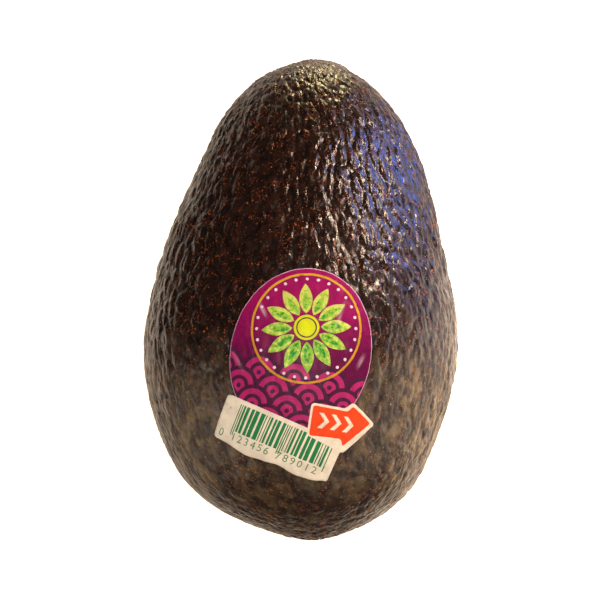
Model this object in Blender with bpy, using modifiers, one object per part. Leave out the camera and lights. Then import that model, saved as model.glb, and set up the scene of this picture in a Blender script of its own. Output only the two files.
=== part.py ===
"""A ripe, dark, pebble-skinned avocado lying on its side, with its woody stem button and the label stuck on it.

The fruit is shaped in its own frame, with its long axis along Y and the stem end at +Y. An empty then turns it to
the way it comes to rest, stem end a little down, with its low point flattened on the surface at Z = 0.
"""

import math

import bmesh
import bpy
import numpy as np
from mathutils import Matrix, Vector

MM = 0.001

# The body. GIRTH is the half-width over the sine of the polar angle, and BEND the sideways shift of the middle line,
# both in equal steps of that angle from the stem end to the blossom end.
LENGTH = 115.0 * MM
GIRTH = np.array((26.5, 30.5, 32.0, 33.0, 36.0, 39.5, 41.5, 39.0, 31.0)) * MM
BEND = np.array((2.5, 1.5, 1.0, 0.0, -1.0, -1.5, -1.5, 0.5, 2.0)) * MM
FLATNESS = 0.955
CUBE_CUTS = 28

# How it lies: the stem end dips until the low point is under the centre of mass, and that point is worn flat.
REST_TILT = math.radians(10.5)
REST_FLAT = 0.55 * MM
REST_FLAT_RADII = (8.0 * MM, 13.0 * MM)

# The pebbled skin, larger than life: its cells across and along the fruit, the share of their width that they keep
# at the ends, how far they wander, a pebble's reach in cells, its height, and the share of that in the smooth body.
PEBBLE_ACROSS = 5.9 * MM
PEBBLE_ALONG = 9.4 * MM
PEBBLE_NARROWEST = 0.6
PEBBLE_WANDER = 0.2
PEBBLE_REACH = 0.85
PEBBLE_RELIEF = 1.15 * MM
PEBBLE_SUNK = 0.65
PEBBLE_SEED = 7
JITTER_CELLS = 16

# The stem end: a shallow dimple with a low rim round it, the cup in its middle and the woody button in the cup.
STEM_DIRECTION = Vector((0.05, 1.0, -0.14)).normalized()
DIMPLE_DEPTH = 1.7 * MM
DIMPLE_RADIUS = 4.6 * MM
RIM_HEIGHT = 0.5 * MM
RIM_RADIUS = 7.4 * MM
RIM_WIDTH = 1.8 * MM
BUTTON_RADIUS = 3.2 * MM
BUTTON_HEIGHT = 2.7 * MM
CUP_DEPTH = 1.0 * MM
GAP = 0.3 * MM

# The label, flat: U to the right and V up, towards the stem end, from the middle of its oval.
LABEL_STATION = -19.0 * MM
LABEL_SHIFT = 0.1 * MM
LABEL_THICKNESS = 0.4 * MM
LABEL_CELL = 2.7 * MM
SEAT_LEVEL = -0.15 * MM
SEAT_MARGIN = 3.0 * MM
OVAL_RADII = (15.9 * MM, 18.9 * MM)
OVAL_TURN = math.radians(-12.5)
OVAL_SIDES = 40
PANEL_CENTRE = Vector((-5.4, -19.2)) * MM
PANEL_SIZE = (28.4 * MM, 10.2 * MM)
PANEL_TURN = math.radians(-24.5)
ARROW_TAIL = (Vector((2.6, -10.6)) * MM, Vector((1.6, -17.7)) * MM)
ARROW_HEAD = (Vector((9.4, -21.4)) * MM, Vector((17.3, -14.6)) * MM, Vector((11.9, -10.1)) * MM)
ARROW_NECK = Vector((10.2, -11.6)) * MM
CORNER = 0.9 * MM


def clear_scene():
    for old in list(bpy.data.objects):
        bpy.data.objects.remove(old)


def new_collection(name):
    made = bpy.data.collections.new(name)
    bpy.context.scene.collection.children.link(made)
    return made


def material(name, colour, roughness):
    made = bpy.data.materials.new(name)
    made.use_nodes = True
    shader = made.node_tree.nodes["Principled BSDF"]
    shader.inputs["Base Color"].default_value = (*colour, 1.0)
    shader.inputs["Roughness"].default_value = roughness
    shader.inputs["Metallic"].default_value = 0.0
    return made


# The smooth body


def series(values, angle):
    """A smooth curve of the polar angle through equally spaced values, level at both ends."""
    order = np.arange(len(values))
    steps = order * math.pi / (len(values) - 1)
    weights = np.linalg.solve(np.cos(np.outer(steps, order)), values)
    return np.cos(np.multiply.outer(angle, order)) @ weights


def polar_angle(station):
    return np.arccos(np.clip(station / (LENGTH / 2), -1.0, 1.0))


def half_width(station):
    angle = polar_angle(station)
    return series(GIRTH, angle) * np.sin(angle)


def body_points(directions):
    """The smooth body's points for unit directions, as an N by 3 array in the fruit's own frame."""
    station = LENGTH / 2 * directions[:, 1]
    angle = polar_angle(station)
    girth = series(GIRTH, angle)
    x = series(BEND, angle) + girth * directions[:, 0]
    z = FLATNESS * girth * directions[:, 2]
    return np.stack((x, station, z), axis=1)


def meridian():
    """Stations along the body, with the length of the way along its top to each from the label's middle."""
    station = np.linspace(-LENGTH / 2, LENGTH / 2, 801)
    length = np.cumsum(np.hypot(np.diff(station), np.diff(FLATNESS * half_width(station))))
    length = np.concatenate(([0.0], length))
    return station, length - np.interp(LABEL_STATION, station, length)


def foot_point():
    """The smooth body's low point as it rests, in the fruit's own frame."""
    turn = np.linspace(0.0, math.pi, 2001)
    underside = body_points(np.stack((np.zeros_like(turn), np.cos(turn), -np.sin(turn)), axis=1))
    height = underside[:, 2] * math.cos(REST_TILT) - underside[:, 1] * math.sin(REST_TILT)
    return Vector(underside[np.argmin(height)])


def stem_frame():
    """The matrix whose origin is on the body at the stem and whose Z axis points straight out of it."""
    step = 0.02
    side = STEM_DIRECTION.cross(Vector((0, 0, 1))).normalized()
    up = side.cross(STEM_DIRECTION)
    around = (STEM_DIRECTION, STEM_DIRECTION + side * step, STEM_DIRECTION + up * step)
    base, across, above = (Vector(p) for p in body_points(np.array([d.normalized() for d in around])))
    outward = (across - base).cross(above - base).normalized()
    if outward.dot(STEM_DIRECTION) < 0:
        outward.negate()
    return Matrix.Translation(base) @ outward.to_track_quat("Z", "Y").to_matrix().to_4x4()


# The label's outline and its place on the body


def placed(corners, centre, turn):
    spin = Matrix.Rotation(turn, 2)
    return [spin @ corner + centre for corner in corners]


def rounded(corners, steps=3):
    """A closed outline with each corner replaced by a few points of a small arc."""
    made = []
    for index, corner in enumerate(corners):
        before = (corners[index - 1] - corner).normalized() * CORNER
        after = (corners[(index + 1) % len(corners)] - corner).normalized() * CORNER
        for step in range(steps + 1):
            share = step / steps
            made.append(corner + before * (1 - share) ** 2 + after * share**2)
    return made


def oval_outline():
    steps = [2 * math.pi * index / OVAL_SIDES for index in range(OVAL_SIDES)]
    flat = [Vector((OVAL_RADII[0] * math.cos(a), OVAL_RADII[1] * math.sin(a))) for a in steps]
    return placed(flat, Vector((0, 0)), OVAL_TURN)


def panel_outline():
    half_u, half_v = PANEL_SIZE[0] / 2, PANEL_SIZE[1] / 2
    flat = [Vector(c) for c in ((-half_u, -half_v), (half_u, -half_v), (half_u, half_v), (-half_u, half_v))]
    return placed(rounded(flat), PANEL_CENTRE, PANEL_TURN)


def arrow_outline():
    return rounded([*ARROW_TAIL, *ARROW_HEAD, ARROW_NECK])


def distance_outside(points, outline):
    """How far flat points are outside a closed outline; negative inside it."""
    corners = np.array(outline)
    edges = np.roll(corners, -1, axis=0) - corners
    away = points[:, None, :] - corners
    share = np.clip((away * edges).sum(axis=2) / (edges**2).sum(axis=1), 0.0, 1.0)
    distance = np.linalg.norm(away - share[:, :, None] * edges, axis=2).min(axis=1)
    ends = corners + edges
    spans = (corners[:, 1] > points[:, None, 1]) != (ends[:, 1] > points[:, None, 1])
    rise = np.where(edges[:, 1] == 0, 1.0, edges[:, 1])
    crossing = corners[:, 0] + (points[:, None, 1] - corners[:, 1]) * edges[:, 0] / rise
    inside = (spans & (points[:, None, 0] < crossing)).sum(axis=1) % 2 == 1
    return np.where(inside, -distance, distance)


def label_distance(points):
    """How far points of the body are outside the label, measured flat."""
    station, length = meridian()
    half = half_width(points[:, 1]) + GAP
    sine = (points[:, 0] - series(BEND, polar_angle(points[:, 1]))) / half
    across = np.arcsin(np.clip(sine, -1.0, 1.0)) * half
    flat = np.stack((across - LABEL_SHIFT, np.interp(points[:, 1], station, length)), axis=1)
    outlines = (oval_outline(), panel_outline(), arrow_outline())
    return np.minimum.reduce([distance_outside(flat, outline) for outline in outlines])


def wrapped(flat):
    """The body's points under flat label points, which keep their lengths along both axes."""
    station, length = meridian()
    along = np.interp(flat[:, 1], length, station)
    across = (flat[:, 0] + LABEL_SHIFT) / half_width(along)
    sine = np.sin(polar_angle(along))
    return body_points(np.stack((sine * np.sin(across), along / (LENGTH / 2), sine * np.cos(across)), axis=1))


# The skin's relief


def smooth_step(low, high, value):
    share = np.clip((value - low) / (high - low), 0.0, 1.0)
    return share * share * (3 - 2 * share)


def pebble_height(points):
    """1 on the crests of the pebbles, which are domes on scattered centres, to 0 in the furrows between them."""
    jitter = np.random.default_rng(PEBBLE_SEED).random((JITTER_CELLS,) * 3 + (3,))
    station, length = meridian()
    fullness = half_width(points[:, 1]) / half_width(station).max()
    across = PEBBLE_ACROSS * (PEBBLE_NARROWEST + (1 - PEBBLE_NARROWEST) * fullness)
    along = np.interp(points[:, 1], station, length) / PEBBLE_ALONG
    cells = np.stack((points[:, 0] / across, along, points[:, 2] / across), axis=1)
    cells += PEBBLE_WANDER * np.sin(2.1 * cells[:, [1, 2, 0]] + 1.3 * cells[:, [2, 0, 1]])
    home = np.floor(cells).astype(int)
    nearest = np.full(len(points), np.inf)
    for offset in np.ndindex(3, 3, 3):
        cell = home + np.array(offset) - 1
        centre = cell + jitter[tuple((cell % JITTER_CELLS).T)]
        nearest = np.minimum(nearest, np.linalg.norm(cells - centre, axis=1))
    return np.clip(1 - (nearest / PEBBLE_REACH) ** 2, 0.0, 1.0)


def relief(points):
    """How far the skin stands out of the smooth body: pebbles, the label's smooth seat, the foot and the dimple."""
    height = PEBBLE_RELIEF * (pebble_height(points) - PEBBLE_SUNK)
    seated = 1 - smooth_step(SEAT_MARGIN, 2 * SEAT_MARGIN, label_distance(points))
    height += seated * (points[:, 2] > 0) * (SEAT_LEVEL - height)
    from_foot = (points - np.array(foot_point()))[:, :2] / np.array(REST_FLAT_RADII)
    from_foot = np.linalg.norm(from_foot, axis=1) + 9 * (points[:, 2] > 0)
    height *= smooth_step(1.0, 1.8, from_foot)
    from_stem = np.linalg.norm(points - np.array(stem_frame().translation), axis=1)
    height *= smooth_step(0.6 * DIMPLE_RADIUS, 2 * DIMPLE_RADIUS, from_stem)
    height -= DIMPLE_DEPTH * np.exp(-((from_stem / DIMPLE_RADIUS) ** 2))
    return height + RIM_HEIGHT * np.exp(-(((from_stem - RIM_RADIUS) / RIM_WIDTH) ** 2))


# Shared mesh steps


def object_from(bm, name, collection, parent=None):
    mesh = bpy.data.meshes.new(name)
    bm.to_mesh(mesh)
    bm.free()
    made = bpy.data.objects.new(name, mesh)
    made.parent = parent
    collection.objects.link(made)
    return made


def as_cutter(obj):
    obj.hide_render = True
    obj.display_type = "WIRE"
    return obj


def boolean(obj, operation, other):
    step = obj.modifiers.new(f"{operation.lower()}_{other.name}", "BOOLEAN")
    step.operation = operation
    step.object = other
    step.solver = "EXACT"


def apply_modifiers(obj):
    bpy.context.view_layer.update()
    shape = obj.evaluated_get(bpy.context.evaluated_depsgraph_get())
    obj.data = bpy.data.meshes.new_from_object(shape)
    obj.modifiers.clear()


def smooth_shade(mesh):
    mesh.shade_smooth()
    mesh.set_sharp_from_angle(angle=math.radians(50))


# The sub-parts


def make_fruit(collection, cutters, rest):
    """The fruit's one body: a cube cut fine and rounded, shaped to the smooth body and raised by the relief."""
    bm = bmesh.new()
    bmesh.ops.create_cube(bm, size=2.0)
    bmesh.ops.subdivide_edges(bm, edges=bm.edges[:], cuts=CUBE_CUTS, use_grid_fill=True)
    ball = np.tan(np.array([v.co for v in bm.verts]) * math.pi / 4)
    ball /= np.linalg.norm(ball, axis=1, keepdims=True)
    smooth = body_points(ball)
    for vert, point in zip(bm.verts, smooth):
        vert.co = point
    bm.normal_update()
    for vert, height in zip(bm.verts, relief(smooth)):
        vert.co += vert.normal * height
    fruit = object_from(bm, "fruit", collection, rest)
    fruit.data.materials.append(material("skin", (0.030, 0.018, 0.012), 0.42))

    bm = bmesh.new()
    bmesh.ops.create_cone(bm, cap_ends=True, segments=32, radius1=BUTTON_RADIUS + GAP, radius2=BUTTON_RADIUS + GAP,
                          depth=2 * CUP_DEPTH)
    cup = as_cutter(object_from(bm, "cup_cutter", cutters, rest))
    cup.matrix_local = stem_frame() @ Matrix.Translation((0, 0, -DIMPLE_DEPTH))
    boolean(fruit, "DIFFERENCE", cup)

    bm = bmesh.new()
    bmesh.ops.create_cube(bm, size=LENGTH)
    bmesh.ops.translate(bm, verts=bm.verts[:], vec=(0, 0, -LENGTH / 2))
    ground = as_cutter(object_from(bm, "ground_cutter", cutters))
    boolean(fruit, "DIFFERENCE", ground)
    smooth_shade(fruit.data)
    return fruit


def make_stem_button(collection, rest):
    """The woody button left where the stalk broke off: a turned plug with a rounded shoulder and a hollow top."""
    profile = ((0.0, 0.78), (0.35, 0.80), (0.62, 0.93), (0.80, 1.0), (0.95, 0.92), (1.0, 0.70), (0.90, 0.42),
               (0.93, 0.0), (0.0, 0.0))
    bm = bmesh.new()
    points = [bm.verts.new((out * BUTTON_RADIUS, 0.0, up * BUTTON_HEIGHT)) for out, up in profile]
    for first, second in zip(points, points[1:]):
        bm.edges.new((first, second))
    button = object_from(bm, "stem_button", collection, rest)
    turn = button.modifiers.new("turn", "SCREW")
    turn.steps = turn.render_steps = 20
    turn.use_merge_vertices = True
    turn.merge_threshold = 0.01 * MM
    apply_modifiers(button)
    button.data.materials.append(material("stem_wood", (0.20, 0.13, 0.07), 0.85))
    smooth_shade(button.data)
    button.matrix_local = stem_frame() @ Matrix.Translation((0, 0, GAP - CUP_DEPTH - DIMPLE_DEPTH))
    return button


def prism(outline, name, cutters):
    """A tall upright prism on a flat outline."""
    bm = bmesh.new()
    face = bm.faces.new([bm.verts.new((u, v, -LABEL_CELL)) for u, v in outline])
    top = bmesh.ops.extrude_face_region(bm, geom=[face])
    raised = [item for item in top["geom"] if isinstance(item, bmesh.types.BMVert)]
    bmesh.ops.translate(bm, verts=raised, vec=(0, 0, 2 * LABEL_CELL))
    bmesh.ops.recalc_face_normals(bm, faces=bm.faces[:])
    return as_cutter(object_from(bm, name, cutters))


def make_label(collection, cutters, rest):
    """The label's film: a flat slab cut to the label's outline, then wrapped on the body with a small gap."""
    outlines = {"oval": oval_outline(), "panel": panel_outline(), "arrow": arrow_outline()}
    whole = prism(outlines.pop("oval"), "oval_cutter", cutters)
    for name, outline in outlines.items():
        boolean(whole, "UNION", prism(outline, f"{name}_cutter", cutters))
    half_reach = OVAL_RADII[1] + PANEL_SIZE[1]
    bm = bmesh.new()
    cells = round(2 * half_reach / LABEL_CELL)
    bmesh.ops.create_grid(bm, x_segments=cells, y_segments=cells, size=half_reach)
    bmesh.ops.translate(bm, verts=bm.verts[:], vec=(0, -PANEL_SIZE[1] / 2, 0))
    label = object_from(bm, "label", collection)
    thick = label.modifiers.new("thickness", "SOLIDIFY")
    thick.thickness = LABEL_THICKNESS
    thick.offset = 1.0
    boolean(label, "INTERSECT", whole)
    apply_modifiers(label)
    label.parent = rest

    flat = np.array([v.co for v in label.data.vertices])
    step = 0.05 * MM
    base = wrapped(flat[:, :2])
    across = wrapped(flat[:, :2] + (step, 0)) - base
    along = wrapped(flat[:, :2] + (0, step)) - base
    outward = np.cross(across, along)
    outward /= np.linalg.norm(outward, axis=1, keepdims=True)
    base += outward * (flat[:, 2:3] + SEAT_LEVEL + GAP)
    label.data.vertices.foreach_set("co", base.ravel())
    label.data.update()
    label.data.materials.append(material("label_film", (0.52, 0.02, 0.16), 0.38))
    smooth_shade(label.data)
    return label


def stand_over_origin(rest, nodes):
    """Moves the whole so that the middle of its box is over the origin."""
    bpy.context.view_layer.update()
    graph = bpy.context.evaluated_depsgraph_get()
    corners = []
    for node in nodes:
        shape = node.evaluated_get(graph)
        corners += [shape.matrix_world @ v.co for v in shape.data.vertices]
    for axis in (0, 1):
        values = [corner[axis] for corner in corners]
        rest.location[axis] -= (min(values) + max(values)) / 2


def main():
    clear_scene()
    avocado = new_collection("avocado")
    cutters = new_collection("cutters")
    rest = bpy.data.objects.new("rest", None)
    rest.rotation_euler.x = -REST_TILT
    rest.location.z = -(rest.rotation_euler.to_matrix() @ foot_point()).z - REST_FLAT
    avocado.objects.link(rest)
    nodes = [make_fruit(avocado, cutters, rest), make_stem_button(avocado, rest), make_label(avocado, cutters, rest)]
    stand_over_origin(rest, nodes)


main()
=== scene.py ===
"""The looks of the avocado: fine pebbled skin, woody stem button and printed label, on a pale floor."""

import math

import bmesh
import bpy
import numpy as np
from mathutils import Matrix, Vector
from mathutils.geometry import delaunay_2d_cdt


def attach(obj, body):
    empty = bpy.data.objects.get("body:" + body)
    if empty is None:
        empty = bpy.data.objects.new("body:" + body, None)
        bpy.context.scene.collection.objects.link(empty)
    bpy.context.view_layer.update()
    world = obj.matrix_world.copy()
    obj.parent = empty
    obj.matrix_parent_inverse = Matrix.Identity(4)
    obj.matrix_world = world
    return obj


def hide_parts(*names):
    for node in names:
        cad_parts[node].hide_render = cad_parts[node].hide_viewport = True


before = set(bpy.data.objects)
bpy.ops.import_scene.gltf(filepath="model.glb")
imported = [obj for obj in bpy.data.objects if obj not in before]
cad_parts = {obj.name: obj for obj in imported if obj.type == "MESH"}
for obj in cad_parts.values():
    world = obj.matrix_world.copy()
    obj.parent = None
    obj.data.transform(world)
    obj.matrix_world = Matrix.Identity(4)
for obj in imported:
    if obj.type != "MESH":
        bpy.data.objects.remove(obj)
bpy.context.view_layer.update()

MM = 0.001

# The body: half-widths over the sine of the polar angle, and the sideways bend, both close to the solid's.
LENGTH = 115.7 * MM
GIRTH = np.array((28.6, 31.2, 32.0, 32.9, 35.7, 39.1, 41.1, 39.8, 31.6)) * MM
BEND = np.array((2.5, 1.5, 1.0, 0.0, -1.0, -1.5, -1.5, 0.1, 1.6)) * MM
FLATNESS = 0.955
BALL_CELLS = 129
MAP_FILL = 0.492

# Where the body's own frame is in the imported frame.
REST_TILT = math.radians(10.5)
REST_PLACE = Vector((1.37, -0.15, 33.10)) * MM
TO_WORLD = Matrix.Translation(REST_PLACE) @ Matrix.Rotation(-REST_TILT, 4, "X")

# The skin's relief.
PEBBLE_CELL = np.array((2.9, 5.8, 2.9)) * MM
GRAIN_CELL = np.array((1.8, 3.0, 1.8)) * MM
NARROWEST = 0.5
FURROW_REACH = 0.38
DOME_REACH = 0.9
PEBBLE_HEIGHT = 0.56 * MM
PEBBLE_TILT = 0.62 * MM
GRAIN_HEIGHT = 0.20 * MM
SWELL_HEIGHT = 0.30 * MM
SWELL_SIZE = 11.0 * MM
WANDER_SIZE = 6.0 * MM
WANDER = 1.0 * MM
LEAN = 0.13
LEAN_REACH = 26.0 * MM
LATTICE = 32
PATCH_SIZE = 14.0 * MM
DENT_PLACE = np.array((-29.0, 28.0, 0.0)) * MM
DENT_REACH = np.array((9.0, 11.0, 20.0)) * MM
DENT_DEPTH = 0.9 * MM

# The stem end.
STEM_DIRECTION = Vector((0.05, 1.0, -0.14)).normalized()
DIMPLE_DEPTH = 1.7 * MM
DIMPLE_RADIUS = 4.6 * MM
RIM_HEIGHT = 0.5 * MM
RIM_RADIUS = 7.4 * MM
RIM_WIDTH = 1.8 * MM
BUTTON_RADIUS = 3.2 * MM
BUTTON_HEIGHT = 2.7 * MM
CUP_RADIUS = 3.5 * MM
CUP_DEPTH = 1.0 * MM
CUP_SUNK = 1.6 * MM
BUTTON_LIFT = 0.3 * MM
BUTTON_RINGS = 60
BUTTON_SIDES = 96
BUTTON_PROFILE = (
    (0.0, 0.72),
    (0.30, 0.74),
    (0.55, 0.86),
    (0.76, 0.98),
    (0.90, 0.97),
    (0.99, 0.82),
    (0.97, 0.60),
    (0.90, 0.42),
    (0.92, 0.15),
    (0.94, 0.0),
    (0.0, 0.0),
)

# The label, flat: U to the right and V up, towards the stem end, from the middle of its oval.
LABEL_STATION = -19.0 * MM
LABEL_SHIFT = 0.1 * MM
FILM_THICKNESS = 0.10 * MM
FILM_GAP = 0.10 * MM
FILM_GRID = 0.45 * MM
FILM_REACH = 30.0 * MM
PRESSED = 0.45
OVAL_RADII = (15.9 * MM, 18.9 * MM)
OVAL_TURN = math.radians(-12.5)
PANEL_CENTRE = Vector((-5.4, -19.2)) * MM
PANEL_SIZE = (28.4 * MM, 10.2 * MM)
PANEL_TURN = math.radians(-24.5)
ARROW_TAIL = (Vector((2.6, -11.1)) * MM, Vector((1.5, -18.4)) * MM)
ARROW_HEAD = (Vector((9.4, -22.6)) * MM, Vector((17.3, -15.5)) * MM, Vector((11.9, -10.8)) * MM)
ARROW_NECK = Vector((10.2, -12.3)) * MM
ARROW_SHAFT = (Vector((2.0, -18.5)) * MM, Vector((9.1, -19.2)) * MM)
ARROW_BARBS = (Vector((9.4, -20.9)) * MM, Vector((16.2, -15.4)) * MM, Vector((11.9, -11.7)) * MM)
ARROW_TOP = (Vector((10.8, -13.0)) * MM, Vector((3.0, -11.7)) * MM)
CORNER = 0.9 * MM
BULGES = ((-4.5 * MM, 4.5 * MM, 1.1 * MM), (7.6 * MM, 4.0 * MM, 1.2 * MM))
RUFFLES = ((0.4 * MM, 1.8 * MM, 0.6 * MM), (11.0 * MM, 1.6 * MM, 0.4 * MM))
RUFFLE_FADE = 1.3 * MM
CREASE_HEIGHT = 0.2 * MM
CREASE_WIDTH = 0.28 * MM
CREASES = (
    ((-9.4, 11.0), (-7.6, 7.6), 1.0),
    ((9.6, 11.6), (7.4, 4.8), 0.6),
    ((14.2, -0.2), (12.6, -3.4), 0.8),
    ((-15.6, 1.0), (-12.6, -4.0), 0.35),
)

# The print: rosette and scallops on the oval, bars and digits on the panel, chevrons on the arrow.
ROSETTE_MIDDLE = (0.0, 5.4 * MM)
ROSETTE_RING = (12.3 * MM, 0.5 * MM)
ROSETTE_DOTS = (28, 11.0 * MM, 0.34 * MM)
ROSETTE_LEAVES = 12
ROSETTE_LEAF = (3.1 * MM, 9.9 * MM, 1.45 * MM)
ROSETTE_VEIN = (3.7 * MM, 8.0 * MM, 0.70 * MM)
ROSETTE_HEART = 2.8 * MM
HEART_RING = (2.25 * MM, 0.28 * MM)
OVAL_RIM = 0.16 * MM
SCALLOP = 4.3 * MM
SCALLOP_TOP = -6.2 * MM
SCALLOP_ROWS = 4
SCALLOP_STEPS = (1.85 * SCALLOP, 0.82 * SCALLOP)
SCALLOP_INKS = (("plum", 1.0), ("pink", 0.80), ("plum", 0.52), ("pink", 0.33), ("plum", 0.12))
BAR_MODULE = 0.241 * MM
BAR_MODULES = 95
BARS_START = -PANEL_SIZE[0] / 2 + 3.9 * MM
BARS_TOP = PANEL_SIZE[1] / 2 - 1.0 * MM
BARS_BOTTOM = -PANEL_SIZE[1] / 2 + 3.0 * MM
GUARD_DROP = 1.0 * MM
DIGIT_HEIGHT = 1.75 * MM
DIGIT_ROW = -PANEL_SIZE[1] / 2 + DIGIT_HEIGHT
CHEVRON_START = 2.0 * MM
CHEVRON_STEP = 2.8 * MM
CHEVRON_HALF = 1.75 * MM
CHEVRON_WIDE = 1.05 * MM
CHEVRON_REACH = 1.45 * MM
SCREEN_PITCH = 0.52
SCREEN_TURN = 0.2
# Painted highlight along the film's creases, where they catch the light.
CREASE_HIGHLIGHT = (0.90, 0.62, 0.76)

# Skin colours; the last two, for the dots, run from dark to bright.
DEEP = (0.0070, 0.0040, 0.0036)
EMBER = (0.0240, 0.0085, 0.0050)
RUSSET = (0.055, 0.018, 0.009)
UMBER = (0.028, 0.015, 0.010)
TAN = (0.205, 0.132, 0.061)
MAROON = (0.065, 0.024, 0.015)
DRAB = (0.10, 0.070, 0.042)
# Painted shade: the near-black that darkens the furrows between the pebbles.
FURROW_SHADE = (0.004, 0.0022, 0.0018)
WORN = (0.050, 0.033, 0.022)
RUST = ((0.070, 0.011, 0.004), (0.52, 0.105, 0.018))
OCHRE = ((0.085, 0.028, 0.012), (0.50, 0.26, 0.042))

# The camera looks straight down from over the fruit.
CAMERA_PLACE = Vector((-0.1, -1.2, 463.2)) * MM
CAMERA_LENS = 108.0


# The smooth body


def series(values, angle):
    """A smooth curve of the polar angle through equally spaced values, level at both ends."""
    order = np.arange(len(values))
    steps = order * math.pi / (len(values) - 1)
    weights = np.linalg.solve(np.cos(np.outer(steps, order)), values)
    return np.cos(np.multiply.outer(angle, order)) @ weights


def polar_angle(station):
    return np.arccos(np.clip(station / (LENGTH / 2), -1.0, 1.0))


def half_width(station):
    angle = polar_angle(station)
    return series(GIRTH, angle) * np.sin(angle)


def body_points(directions):
    """The smooth body's points for unit directions, as an N by 3 array in the fruit's own frame."""
    station = LENGTH / 2 * directions[:, 1]
    angle = polar_angle(station)
    girth = series(GIRTH, angle)
    x = series(BEND, angle) + girth * directions[:, 0]
    z = FLATNESS * girth * directions[:, 2]
    return np.stack((x, station, z), axis=1)


def meridian():
    """Stations along the body, with the length of the way along its top to each from the label's middle."""
    station = np.linspace(-LENGTH / 2, LENGTH / 2, 801)
    length = np.cumsum(np.hypot(np.diff(station), np.diff(FLATNESS * half_width(station))))
    length = np.concatenate(([0.0], length))
    return station, length - np.interp(LABEL_STATION, station, length)


def stem_frame():
    """The matrix whose origin is on the body at the stem and whose Z axis points straight out of it."""
    step = 0.02
    side = STEM_DIRECTION.cross(Vector((0, 0, 1))).normalized()
    up = side.cross(STEM_DIRECTION)
    around = (STEM_DIRECTION, STEM_DIRECTION + side * step, STEM_DIRECTION + up * step)
    base, across, above = (Vector(p) for p in body_points(np.array([d.normalized() for d in around])))
    outward = (across - base).cross(above - base).normalized()
    if outward.dot(STEM_DIRECTION) < 0:
        outward.negate()
    return Matrix.Translation(base) @ outward.to_track_quat("Z", "Y").to_matrix().to_4x4()


# Noise


def smooth_step(low, high, value):
    share = np.clip((value - low) / (high - low), 0.0, 1.0)
    return share * share * (3 - 2 * share)


def cloud(points, size, seed):
    """Soft noise from -1 to 1, with features of about that size."""
    values = np.random.default_rng(seed).random((LATTICE,) * 3)
    cells = points / size
    home = np.floor(cells).astype(int)
    share = smooth_step(0.0, 1.0, cells - home)
    total = np.zeros(len(points))
    for corner in np.ndindex(2, 2, 2):
        weight = np.where(corner, share, 1 - share).prod(axis=1)
        total += weight * values[tuple(((home + np.array(corner)) % LATTICE).T)]
    return 2 * total - 1


def pebbles(points, cell, seed):
    """Three measures of scattered cells.

    The first is 0 in a furrow and 1 inside a cell, the second 1 at a cell's centre and 0 far away,
    and the third slants across each cell.
    """
    jitter = np.random.default_rng(seed).random((LATTICE,) * 3 + (3,))
    cells = points / cell
    home = np.floor(cells).astype(int)
    nearest = np.full(len(points), np.inf)
    second = nearest.copy()
    slant = np.zeros(len(points))
    for offset in np.ndindex(3, 3, 3):
        corner = home + np.array(offset) - 1
        shift = jitter[tuple((corner % LATTICE).T)]
        away = cells - corner - shift
        distance = np.linalg.norm(away, axis=1)
        closer = distance < nearest
        lean = shift[:, (1, 2, 0)] - 0.5
        slant = np.where(closer, (away * lean).sum(axis=1), slant)
        second = np.minimum(second, np.maximum(nearest, distance))
        nearest = np.minimum(nearest, distance)
    furrow = np.clip((second - nearest) / FURROW_REACH, 0.0, 1.0)
    return 1 - (1 - furrow) ** 2, np.clip(1 - (nearest / DOME_REACH) ** 2, 0.0, 1.0), slant


# The label's outline and its place on the body


def placed(corners, centre, turn):
    spin = Matrix.Rotation(turn, 2)
    return [spin @ Vector(corner) + Vector(centre) for corner in corners]


def rounded(corners, radius=CORNER):
    """A closed outline with each corner replaced by a few points of a small arc."""
    steps = 5
    made = []
    for index, corner in enumerate(corners):
        before = (corners[index - 1] - corner).normalized() * radius
        after = (corners[(index + 1) % len(corners)] - corner).normalized() * radius
        for step in range(steps + 1):
            share = step / steps
            made.append(corner + before * (1 - share) ** 2 + after * share**2)
    return made


def ellipse(radii, centre=(0, 0), turn=0.0, sides=48):
    steps = [2 * math.pi * index / sides for index in range(sides)]
    return placed([(radii[0] * math.cos(a), radii[1] * math.sin(a)) for a in steps], centre, turn)


def box_corners(low, high):
    return [Vector(low), Vector((high[0], low[1])), Vector(high), Vector((low[0], high[1]))]


def oval_outline():
    return ellipse(OVAL_RADII, turn=OVAL_TURN, sides=120)


def panel_outline():
    """The panel's rounded box, with a wavy lower edge."""
    half = Vector(PANEL_SIZE) / 2
    low_edge = [Vector((share * half.x, -half.y)) for share in np.linspace(-0.9, 0.9, 31)]
    for corner in low_edge:
        for middle, width, depth in BULGES:
            corner.y -= depth * math.exp(-(((corner.x - middle) / width) ** 2))
    corners = rounded(box_corners(-half, half))
    return placed([*corners[:6], *low_edge, *corners[6:]], PANEL_CENTRE, PANEL_TURN)


def arrow_corners():
    return [*ARROW_TAIL, *ARROW_HEAD, ARROW_NECK]


def is_inside(points, outline):
    """Whether flat points are inside a closed outline."""
    corners = np.array(outline)
    ends = np.roll(corners, -1, axis=0)
    inside = np.zeros(len(points), dtype=bool)
    for (u1, v1), (u2, v2) in zip(corners, ends):
        if v1 == v2:
            continue
        spans = (v1 > points[:, 1]) != (v2 > points[:, 1])
        inside ^= spans & (points[:, 0] < u1 + (points[:, 1] - v1) * (u2 - u1) / (v2 - v1))
    return inside


def distance_outside(points, outline):
    """How far flat points are outside a closed outline; negative inside it."""
    corners = np.array(outline)
    edges = np.roll(corners, -1, axis=0) - corners
    distance = np.full(len(points), np.inf)
    for corner, edge in zip(corners, edges):
        away = points - corner
        share = np.clip(away @ edge / (edge @ edge), 0.0, 1.0)
        distance = np.minimum(distance, np.linalg.norm(away - share[:, None] * edge, axis=1))
    return np.where(is_inside(points, outline), -distance, distance)


def label_distance(flat):
    outlines = (oval_outline(), panel_outline(), rounded(arrow_corners()))
    return np.minimum.reduce([distance_outside(flat, outline) for outline in outlines])


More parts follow.
